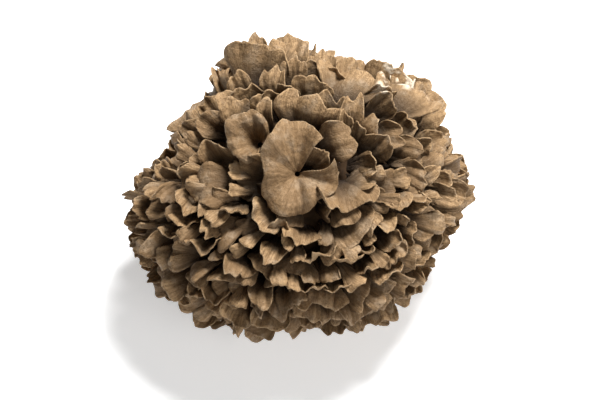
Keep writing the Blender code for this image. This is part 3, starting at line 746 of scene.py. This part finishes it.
def cap_grid(cap, rows, columns):
    """Corners and faces of one closed cap, with what the materials read."""
    reach = 1 - (1 - np.linspace(0, 1, rows)) ** ROWS_CLOSER
    sides = np.sin(SIDES_CLOSER * np.linspace(-1, 1, columns)) / math.sin(SIDES_CLOSER)
    along, side = (grid.ravel() for grid in np.meshgrid(reach, sides, indexing="ij"))
    middle = sheet(cap, along, side).reshape(rows, columns, 3)
    rim_rows, rim_columns = open_edge(rows, columns)
    rim = rim_rows * columns + rim_columns
    points = closed_points(cap, middle, along, rim_rows, rim_columns)
    lowest = points[:, 2].argmin()
    share = np.concatenate((along, along, along[rim]))
    if points[lowest, 2] < LOWEST_CAP:
        points[:, 2] += (LOWEST_CAP - points[lowest, 2]) * share / max(share[lowest], 0.05)
    count = rows * columns
    stalk, blade = cap["elbow"] - cap["root"], cap["tip"] - cap["elbow"]
    length = np.linalg.norm(blade) + np.linalg.norm(stalk)
    to_side = (1 - np.abs(side)) * cap["width"] * 0.8 + 0.02 * (1 - along)
    to_rim = np.minimum((1 - along) * length, to_side)
    # Funnels count as no further than FUNNEL_RIM_WAY from the rim, so they get less painted shade towards
    # the root.
    if "rim" in cap:
        to_rim = np.minimum(to_rim, FUNNEL_RIM_WAY)
    tone_and_light = np.full(count, cap["tone_and_light"])
    grain = np.stack((side * cap["width"] / 2, along * length, tone_and_light), axis=1)
    return {
        "points": points,
        # How deep a corner lies, which the material turns into painted shade.
        "deep": depth_under_skin(points) * (FUNNEL_PAINTED_SHADE if "rim" in cap else 1),
        "faces": closed_faces(rows, columns, rim),
        "grain": np.vstack((grain, grain, grain[rim])),
        "rim": np.concatenate((to_rim, to_rim, to_rim[rim] * 0)),
        "under": np.concatenate((np.zeros(count), np.ones(count), np.full(len(rim), 0.5))),
        "tone_and_light": np.full(2 * count + len(rim), cap["tone_and_light"]),
        "bare": torn_share(points),
    }

# %% [markdown]
# ## One mesh for many caps
# All caps of a region go into one mesh. What every visible piece needs is said in one place: it rides
# with the mushroom's one body and stands for its solid.
# %% from corners to pieces
def shown(name, mesh):
    """The mesh as a visible piece of the mushroom, shaded smooth."""
    mesh.polygons.foreach_set("use_smooth", np.ones(len(mesh.polygons), dtype=bool))
    piece = bpy.data.objects.new(name, mesh)
    bpy.context.scene.collection.objects.link(piece)
    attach(piece, "root")
    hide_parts("maitake")
    return piece


def grow(name, caps, rows, columns):
    """One piece from many caps, with their attributes."""
    grids = [cap_grid(cap, rows, columns) for cap in caps]
    starts = np.cumsum([0] + [len(grid["points"]) for grid in grids[:-1]])
    points = np.vstack([grid["points"] for grid in grids])
    faces = np.vstack([grid["faces"] + start for grid, start in zip(grids, starts)])
    mesh = bpy.data.meshes.new(name)
    mesh.vertices.add(len(points))
    mesh.vertices.foreach_set("co", points.astype(np.float32).ravel())
    mesh.loops.add(faces.size)
    mesh.loops.foreach_set("vertex_index", faces.astype(np.int32).ravel())
    mesh.polygons.add(len(faces))
    mesh.polygons.foreach_set("loop_start", np.arange(0, faces.size, 4, dtype=np.int32))
    mesh.update(calc_edges=True)
    layer = mesh.attributes.new("grain", "FLOAT_VECTOR", "POINT")
    stored = np.vstack([grid["grain"] for grid in grids])
    layer.data.foreach_set("vector", stored.astype(np.float32).ravel())
    for key in ("rim", "under", "tone_and_light", "bare", "deep"):
        layer = mesh.attributes.new(key, "FLOAT", "POINT")
        stored = np.concatenate([grid[key] for grid in grids])
        layer.data.foreach_set("value", stored.astype(np.float32))
    print(name, len(caps), "caps", 2 * len(faces), "triangles")
    return shown(name, mesh)

# %% [markdown]
# ## Regions
# One mesh for the whole cluster would be hard to handle, so caps are grouped by where they grow.
# The face's large caps get a fine grid and the funnels the finest, since their rims are long.
# The smaller the caps, the coarser their grid can be.
# %% grow every region
GRIDS = {"large": (22, 30), "funnel": (30, 90), "fill": (18, 22), "between": (16, 20),
         "young": (13, 16), "smallest": (11, 14)}
regions = {"crown": [], "heart": [], "left": [], "right": [], "lower": []}
for cap in front:
    across, up, _ = face_place(cap)
    if up > 0.060:
        regions["crown"].append(cap)
    elif across < -0.080:
        regions["left"].append(cap)
    elif across > 0.070:
        regions["right"].append(cap)
    elif up > -0.025:
        regions["heart"].append(cap)
    else:
        regions["lower"].append(cap)
back = [cap for cap in fill if cap["tip"][1] > 0]
fore = [cap for cap in fill if cap["tip"][1] <= 0]
pieces = [grow(f"caps_{name}", caps, *GRIDS["large"]) for name, caps in regions.items()]
pieces.append(grow("hub_funnels", funnels, *GRIDS["funnel"]))
pieces.append(grow("caps_between", small, *GRIDS["between"]))
pieces.append(grow("caps_back", back, *GRIDS["fill"]))
pieces.append(grow("caps_flank", fore, *GRIDS["fill"]))
pieces.append(grow("caps_young", young, *GRIDS["young"]))
pieces.append(grow("caps_smallest", crowd, *GRIDS["smallest"]))

# %% [markdown]
# ## The middle and the stem
# Between the caps one looks down on the knotted middle. It is the same lumpy ball as in the
# solid, made fine enough for real knots by three octaves of noise. The stem is turned from
# rings, then roughened by noise and left flat at the floor, where it was cut. Branches go out
# from it to the middle.
# %% knotted middle, stem and branches
KNOTS = ((3.1, 0.10), (11, 0.03), (29, 0.012))  # how fine the lumps are, and how deep
SHRUNK = 0.985  # keeps the middle just inside the solid's
STEM_RADIUS = 0.042
STEM_TOP = 0.060
STEM_STOPS = ((0.0, 1.0), (0.012, 1.02), (0.030, 1.2), (STEM_TOP, 1.6))  # height, share of radius
STEM_RINGS, STEM_SIDES = 25, 72
STEM_ROUGH = (90, 0.003)  # how fine and how deep
BRANCHES = 7
BRANCH_NEAR = 0.026  # how far from the stem's axis a branch starts
BRANCH_LOW, BRANCH_RISE = 0.010, 0.052
BRANCH_RADIUS, BRANCH_SWELL = 0.0105, 0.006
BRANCH_RINGS, BRANCH_SIDES = 17, 24
BRANCH_ROUGH = (120, 0.002)


def from_body(name, body):
    """Turns a bmesh into a shown piece."""
    mesh = bpy.data.meshes.new(name)
    body.to_mesh(mesh)
    body.free()
    print(name, len(mesh.polygons), "faces")
    return shown(name, mesh)


def knotted_middle():
    """The ball that the caps grow from, lumpy at three scales."""
    body = bmesh.new()
    bmesh.ops.create_icosphere(body, subdivisions=6, radius=1)
    for corner in body.verts:
        spot = np.array(corner.co.normalized())
        lump = 1
        for fineness, height in KNOTS:
            lump += height * noise.noise(Vector(spot * fineness))
        corner.co = MIDDLE + spot * skin_radius(spot) * CORE_SHARE * lump * SHRUNK
    return from_body("knotted_middle", body)


def turned(rings, sides, twist=0.0):
    """A closed tube through rings of (middle, radius), as a bmesh."""
    body = bmesh.new()
    loops = []
    for middle, radius in rings:
        angles = [math.tau * step / sides + twist for step in range(sides)]
        loops.append([body.verts.new((middle[0] + radius * math.cos(angle),
                                      middle[1] + radius * math.sin(angle), middle[2]))
                      for angle in angles])
    for low, high in zip(loops, loops[1:]):
        for step in range(sides):
            after = (step + 1) % sides
            body.faces.new((low[step], low[after], high[after], high[step]))
    body.faces.new(loops[0][::-1])
    body.faces.new(loops[-1])
    return body


def roughen(body, fineness, depth):
    """Pushes corners out and in by noise, and leaves those on the floor flat."""
    for corner in body.verts:
        if corner.co.z > 1e-5:
            push = noise.noise(corner.co * fineness) * depth
            out = Vector((corner.co.x, corner.co.y, 0))
            corner.co += out.normalized() * push if out.length > 1e-6 else Vector()
    return body


def cut_stem():
    """The stem, flat at the floor and wider where it divides."""
    heights, shares = zip(*STEM_STOPS)
    rings = []
    for height in np.linspace(0, STEM_TOP, STEM_RINGS):
        share = np.interp(height, heights, shares)
        rings.append(((0, 0, float(height)), STEM_RADIUS * float(share)))
    return from_body("cut_stem", roughen(turned(rings, STEM_SIDES), *STEM_ROUGH))


def branch(index, dice):
    """One of the branches that go out from the stem and up into the middle."""
    angle = math.tau * (index + dice.uniform(-0.2, 0.2)) / BRANCHES
    reach = dice.uniform(0.068, 0.080) - BRANCH_NEAR
    rings = []
    for share in np.linspace(0, 1, BRANCH_RINGS).tolist():
        out = BRANCH_NEAR + reach * share
        spot = (out * math.cos(angle), out * math.sin(angle), BRANCH_LOW + BRANCH_RISE * share)
        rings.append((spot, BRANCH_RADIUS + BRANCH_SWELL * share))
    return from_body(f"branch_{index}", roughen(turned(rings, BRANCH_SIDES, angle), *BRANCH_ROUGH))


branch_dice = random.Random(SEED + 2)
stem_pieces = [cut_stem()] + [branch(index, branch_dice) for index in range(BRANCHES)]
middle = knotted_middle()

# %% [markdown]
# ## Finishes
# Every surface here is mushroom flesh, so the materials share their effects, each a node group
# with named sockets. The short functions here each make one node and link it, so that the
# groups and materials below read as a list of steps.
# %% one function per node
def group_with(name, inputs, outputs):
    """An empty shader node group with named sockets, and its input and output nodes."""
    group = bpy.data.node_groups.new(name, "ShaderNodeTree")
    for label, kind, value in inputs:
        socket = group.interface.new_socket(label, in_out="INPUT", socket_type=kind)
        if value is not None:
            socket.default_value = value
    for label, kind in outputs:
        group.interface.new_socket(label, in_out="OUTPUT", socket_type=kind)
    start = group.nodes.new("NodeGroupInput")
    end = group.nodes.new("NodeGroupOutput")
    return group, start, end


def math_node(tree, operation, first, second, clamp=False):
    """A Math node, each input a socket or a number."""
    node = tree.nodes.new("ShaderNodeMath")
    node.operation, node.use_clamp = operation, clamp
    for socket, value in zip(node.inputs, (first, second)):
        if isinstance(value, (int, float)):
            socket.default_value = value
        else:
            tree.links.new(value, socket)
    return node.outputs[0]


def spread_node(tree, value, low, high, new_low=0.0, new_high=1.0):
    """A Map Range node that turns low..high into new_low..new_high, softly."""
    node = tree.nodes.new("ShaderNodeMapRange")
    node.interpolation_type = "SMOOTHSTEP"
    for socket, number in zip(node.inputs[1:5], (low, high, new_low, new_high)):
        socket.default_value = number
    tree.links.new(value, node.inputs[0])
    return node.outputs[0]


def mix_node(tree, share, first, second):
    """A colour Mix node, each colour a socket or four numbers."""
    node = tree.nodes.new("ShaderNodeMix")
    node.data_type = "RGBA"
    sockets = (node.inputs[0], node.inputs[6], node.inputs[7])
    for socket, value in zip(sockets, (share, first, second)):
        if isinstance(value, (int, float, tuple)):
            socket.default_value = value
        else:
            tree.links.new(value, socket)
    return node.outputs[2]


def noise_node(tree, vector, scale, detail=3.0, rough=0.55):
    """A Noise Texture read at a vector."""
    node = tree.nodes.new("ShaderNodeTexNoise")
    for label, value in (("Scale", scale), ("Detail", detail), ("Roughness", rough)):
        node.inputs[label].default_value = value
    tree.links.new(vector, node.inputs["Vector"])
    return node.outputs["Fac"]

# %% [markdown]
# ## Fibres, blotches and the rim
# Fibres are noise stretched along the cap. Blotches are slow noise in space, with a finer
# mottle and specks. The rim group turns the stored way to the rim into a soft mask.
# %% three shader groups
FROM_CAP_TO_CAP = 40.0  # how far apart two caps of other tones read the fibres' noise


def stretched(tree, vector, across, along):
    """The vector scaled by its own amount across and along the fibres, and from cap to cap."""
    node = tree.nodes.new("ShaderNodeVectorMath")
    node.operation = "MULTIPLY"
    node.inputs[1].default_value = (across, along, FROM_CAP_TO_CAP)
    tree.links.new(vector, node.inputs[0])
    return node.outputs[0]


def make_fibre_group():
    """Streaks that run from the root to the rim, at two widths."""
    group, start, end = group_with(
        "fibres", [("Grain", "NodeSocketVector", None), ("Contrast", "NodeSocketFloat", 1.0)],
        [("Streak", "NodeSocketFloat"), ("Height", "NodeSocketFloat")])
    grain = start.outputs["Grain"]
    broad = noise_node(group, stretched(group, grain, 420, 45), 1.0, 3.0, 0.65)
    thin = noise_node(group, stretched(group, grain, 1500, 110), 1.0, 4.0, 0.75)
    both = math_node(group, "ADD", math_node(group, "MULTIPLY", broad, 0.55),
                     math_node(group, "MULTIPLY", thin, 0.45))
    centred = math_node(group, "SUBTRACT", both, 0.5)
    scaled = math_node(group, "MULTIPLY", centred, start.outputs["Contrast"])
    streak = math_node(group, "ADD", math_node(group, "MULTIPLY", scaled, 5.0), 0.5, clamp=True)
    group.links.new(streak, end.inputs["Streak"])
    group.links.new(both, end.inputs["Height"])
    return group


def make_blotch_group():
    """Slow patches in space, a mottle of a few millimetres, and fine specks."""
    group, start, end = group_with(
        "blotches", [("Place", "NodeSocketVector", None), ("Amount", "NodeSocketFloat", 1.0)],
        [("Patch", "NodeSocketFloat"), ("Mottle", "NodeSocketFloat"), ("Speck", "NodeSocketFloat")])
    place = start.outputs["Place"]
    slow = spread_node(group, noise_node(group, place, 75, 3.0), 0.50, 0.68)
    mottle = spread_node(group, noise_node(group, place, 330, 4.0, 0.7), 0.40, 0.66)
    speck = spread_node(group, noise_node(group, place, 900, 2.0), 0.54, 0.72)
    patch = math_node(group, "MULTIPLY", slow, start.outputs["Amount"], clamp=True)
    group.links.new(patch, end.inputs["Patch"])
    group.links.new(mottle, end.inputs["Mottle"])
    group.links.new(speck, end.inputs["Speck"])
    return group


def make_rim_group():
    """1 at the rim, falling to 0 a stated way in, broken up by noise."""
    group, start, end = group_with(
        "rim_mask", [("Distance", "NodeSocketFloat", 0.0), ("Reach", "NodeSocketFloat", 0.004),
                     ("Place", "NodeSocketVector", None)], [("Mask", "NodeSocketFloat")])
    uneven = math_node(group, "MULTIPLY", noise_node(group, start.outputs["Place"], 260, 2.0), 0.004)
    way = math_node(group, "ADD", start.outputs["Distance"], uneven)
    share = math_node(group, "DIVIDE", way, start.outputs["Reach"])
    mask = math_node(group, "SUBTRACT", 1.35, share, clamp=True)
    group.links.new(mask, end.inputs["Mask"])
    return group


def attribute(tree, name, output):
    """A value stored on the mesh."""
    node = tree.nodes.new("ShaderNodeAttribute")
    node.attribute_name = name
    return node.outputs[output]


def placed(tree, group, **links):
    """A group node in a material, each input a socket or a number."""
    node = tree.nodes.new("ShaderNodeGroup")
    node.node_tree = group
    for label, value in links.items():
        if isinstance(value, (int, float)):
            node.inputs[label].default_value = value
        else:
            tree.links.new(value, node.inputs[label])
    return node.outputs


FIBRES = make_fibre_group()
BLOTCHES = make_blotch_group()
RIM_MASK = make_rim_group()
print("groups", FIBRES.name, BLOTCHES.name, RIM_MASK.name)

# %% [markdown]
# ## Cap skin
# The upper skin runs from painted shade, near black deep in and dark brown away from the rim, to tan at
# the rim, with fibre streaks, a mottle, grey-brown bloom and dark flecks, and a pale rim that is partly
# the margin's own colour and partly a painted highlight. The underside is plain tan, with painted shade
# in umber deep in. One material holds both and the stored `under` value chooses between them, so a cap's
# edge blends from one into the other. Where the skin is torn, pale flesh shows.
# %% the skin of the caps
# Umber, for dark flecks and specks, and for painted shade on the underside and the knotted middle.
UMBER_FLECK_AND_SHADE = (0.050, 0.027, 0.012, 1)
# Dark brown: painted shade towards a cap's root.
ROOTWARD_SHADE = (0.085, 0.048, 0.021, 1)
BROWN = (0.155, 0.090, 0.039, 1)
TAN = (0.445, 0.285, 0.143, 1)
# Pale tan of the rim: partly the margin's own paler colour, partly a painted highlight.
PALE_RIM_AND_HIGHLIGHT = (0.560, 0.390, 0.220, 1)
BLOOM = (0.330, 0.245, 0.160, 1)
UNDERSIDE = (0.340, 0.225, 0.120, 1)
BARE_FLESH = (0.740, 0.620, 0.470, 1)
# Near black: painted shade deep in the cluster.
PAINTED_SHADE = (0.016, 0.009, 0.005, 1)


def upper_skin(tree, fibres, blotch, place):
    """Colour of the upper skin: streaks, the cap's tone with painted light and shade, painted shade
    towards the root, bloom, mottle, flecks and a pale rim that is partly a painted highlight.
    """
    rim = attribute(tree, "rim", "Fac")
    tone_and_light = attribute(tree, "tone_and_light", "Fac")
    edge = placed(tree, RIM_MASK, Distance=rim, Reach=0.0018, Place=place)
    bruise = placed(tree, RIM_MASK, Distance=rim, Reach=0.0050, Place=place)
    body = mix_node(tree, fibres["Streak"], BROWN, TAN)
    # A cap's tone darkens or lightens it: partly its own colour, partly painted light at the crown and
    # painted shade on the funnels.
    darker = mix_node(tree, spread_node(tree, tone_and_light, 0.35, 1.0, 0.0, 0.60), body, BROWN)
    lighter = mix_node(tree, spread_node(tree, tone_and_light, 0.0, 0.30, 0.40, 0.0), darker, TAN)
    # Painted shade: darker further from the rim, towards the root.
    root_shaded = mix_node(tree, spread_node(tree, rim, 0.003, 0.020, 0.0, 0.62), lighter, ROOTWARD_SHADE)
    bloomed = mix_node(tree, blotch["Patch"], root_shaded, BLOOM)
    mottled = mix_node(tree, math_node(tree, "MULTIPLY", blotch["Mottle"], 0.55), bloomed, BROWN)
    flecks = math_node(tree, "MULTIPLY", bruise["Mask"], blotch["Speck"])
    flecked = mix_node(tree, math_node(tree, "MULTIPLY", flecks, 0.8), mottled, UMBER_FLECK_AND_SHADE)
    # The pale rim: partly the margin's own colour, partly a painted highlight.
    return mix_node(tree, math_node(tree, "MULTIPLY", edge["Mask"], 0.55), flecked, PALE_RIM_AND_HIGHLIGHT)


def add_bump(tree, shader, height, strength, distance):
    """Raises the surface's look by a height, without moving it."""
    bump = tree.nodes.new("ShaderNodeBump")
    bump.inputs["Strength"].default_value = strength
    bump.inputs["Distance"].default_value = distance
    tree.links.new(height, bump.inputs["Height"])
    tree.links.new(bump.outputs["Normal"], shader.inputs["Normal"])


def new_material(name):
    """A material with its node tree and its main shader."""
    material = bpy.data.materials.new(name)
    material.use_nodes = True
    return material, material.node_tree, material.node_tree.nodes["Principled BSDF"]


def skin_material():
    """Brown cap skin above, plain tan below, both with painted shade deep in, and pale flesh where it is
    torn.
    """
    material, tree, shader = new_material("cap_skin")
    place = tree.nodes.new("ShaderNodeTexCoord").outputs["Object"]
    fibres = placed(tree, FIBRES, Grain=attribute(tree, "grain", "Vector"), Contrast=1.0)
    blotch = placed(tree, BLOTCHES, Place=place, Amount=0.55)
    # Painted shade: the deeper a corner lies under the cluster's skin, the nearer the upper skin goes to
    # near black and the underside to umber.
    painted_depth_shade = spread_node(tree, attribute(tree, "deep", "Fac"), 0.02, 0.24, 0.0, 0.94)
    above = mix_node(tree, painted_depth_shade, upper_skin(tree, fibres, blotch, place), PAINTED_SHADE)
    below = mix_node(tree, math_node(tree, "MULTIPLY", painted_depth_shade, 0.8), UNDERSIDE, UMBER_FLECK_AND_SHADE)
    under = spread_node(tree, attribute(tree, "under", "Fac"), 0.45, 0.95)
    sided = mix_node(tree, under, above, below)
    bare = mix_node(tree, attribute(tree, "bare", "Fac"), sided, BARE_FLESH)
    specked = mix_node(tree, math_node(tree, "MULTIPLY", blotch["Speck"], 0.35), bare, UMBER_FLECK_AND_SHADE)
    tree.links.new(specked, shader.inputs["Base Color"])
    rough = spread_node(tree, fibres["Streak"], 0.0, 1.0, 0.80, 0.52)
    tree.links.new(rough, shader.inputs["Roughness"])
    sunk = math_node(tree, "MULTIPLY", blotch["Mottle"], 0.35)
    height = math_node(tree, "SUBTRACT", fibres["Height"], sunk)
    add_bump(tree, shader, height, 0.9, 0.0012)
    shader.inputs["Specular IOR Level"].default_value = 0.30
    return material


cap_skin = skin_material()
for piece in pieces:
    piece.data.materials.append(cap_skin)
print("cap skin on", len(pieces), "pieces")

# %% [markdown]
# ## Stem flesh
# The cut stem and its branches are pale cream, tougher and smoother than the caps, with faint brown
# bruises. The knotted middle is the same flesh, painted umber to near black as painted shade.
# %% the flesh of the stem and the middle
CREAM = (0.660, 0.545, 0.400, 1)
BRUISE = (0.330, 0.215, 0.115, 1)


def flesh_material(name, light, dark):
    """Plain mushroom flesh with fibres and bruises; on the knotted middle both colours are painted shade.
    """
    material, tree, shader = new_material(name)
    place = tree.nodes.new("ShaderNodeTexCoord").outputs["Object"]
    fibres = placed(tree, FIBRES, Grain=place, Contrast=0.7)
    blotch = placed(tree, BLOTCHES, Place=place, Amount=0.7)
    body = mix_node(tree, blotch["Patch"], light, dark)
    streaked = mix_node(tree, math_node(tree, "MULTIPLY", fibres["Streak"], 0.35), body, dark)
    tree.links.new(streaked, shader.inputs["Base Color"])
    rough = spread_node(tree, fibres["Streak"], 0, 1, 0.85, 0.7)
    tree.links.new(rough, shader.inputs["Roughness"])
    add_bump(tree, shader, fibres["Height"], 0.4, 0.0006)
    shader.inputs["Specular IOR Level"].default_value = 0.12
    return material


stem_flesh = flesh_material("stem_flesh", CREAM, BRUISE)
for piece in stem_pieces:
    piece.data.materials.append(stem_flesh)
# The knotted middle, painted umber and near black: painted shade.
middle.data.materials.append(flesh_material("middle_painted_shade", UMBER_FLECK_AND_SHADE, PAINTED_SHADE))
print("stem flesh on", len(stem_pieces), "pieces")

# %% [markdown]
# ## Floor and light
# A plain pale floor, one soft lamp above, behind and to the right, a weaker one at the front
# right, and a dim white surround, so that hollows stay dark. The floor glows a little, so that it
# stays pale where no lamp reaches it.
# %% studio
FLOOR_REACH = 4.0
FLOOR_DROP = -0.0002  # just under the stem's cut
FLOOR_GLOW = 0.42
SURROUND = 0.13
WHITE = (1, 1, 1, 1)


def add_floor():
    """A large pale disc under the cluster."""
    body = bmesh.new()
    bmesh.ops.create_circle(body, cap_ends=True, segments=96, radius=FLOOR_REACH)
    mesh = bpy.data.meshes.new("floor")
    body.to_mesh(mesh)
    body.free()
    floor = bpy.data.objects.new("floor", mesh)
    bpy.context.scene.collection.objects.link(floor)
    floor.location.z = FLOOR_DROP
    material, _, shader = new_material("pale_floor")
    shader.inputs["Base Color"].default_value = (0.92, 0.92, 0.92, 1)
    shader.inputs["Emission Color"].default_value = WHITE
    shader.inputs["Emission Strength"].default_value = FLOOR_GLOW
    shader.inputs["Roughness"].default_value = 0.9
    mesh.materials.append(material)


def add_lamp(name, place, aim, power, size):
    """A square area lamp that looks at a point."""
    light = bpy.data.lights.new(name, "AREA")
    light.energy, light.size = power, size
    lamp = bpy.data.objects.new(name, light)
    bpy.context.scene.collection.objects.link(lamp)
    lamp.location = place
    lamp.rotation_euler = (Vector(aim) - Vector(place)).to_track_quat("-Z", "Y").to_euler()
    print(name, "lamp", power, "watts")


add_floor()
add_lamp("key", (0.33, 0.40, 1.33), MIDDLE, 41, 0.42)
add_lamp("fill", (0.7, -0.9, 1.0), MIDDLE, 7, 0.8)
world = bpy.data.worlds.new("surround")
bpy.context.scene.world = world
world.use_nodes = True
background = world.node_tree.nodes["Background"]
background.inputs["Color"].default_value = WHITE
background.inputs["Strength"].default_value = SURROUND
bpy.context.scene.view_settings.view_transform = "Standard"

# %% [markdown]
# ## Camera
# The camera looks straight at the rosette's face from over a metre away, with a long lens, so
# that near caps are hardly drawn larger than far ones.
# %% camera
DISTANCE = 1.2
SENSOR = 36
FRAME_WIDTH = 0.474  # what the picture spans across, at the cluster
FRAME_DROP = 0.0095  # how far under the cluster's middle the picture's middle is
lens = bpy.data.cameras.new("camera")
lens.sensor_width = SENSOR
lens.lens = SENSOR * DISTANCE / FRAME_WIDTH
camera = bpy.data.objects.new("camera", lens)
bpy.context.scene.collection.objects.link(camera)
aim = MIDDLE - FRAME_DROP * UPWARD
camera.location = aim + DISTANCE * OUTWARD
camera.rotation_euler = Vector(-OUTWARD).to_track_quat("-Z", "Y").to_euler()
bpy.context.scene.camera = camera
print("lens", round(lens.lens, 1))
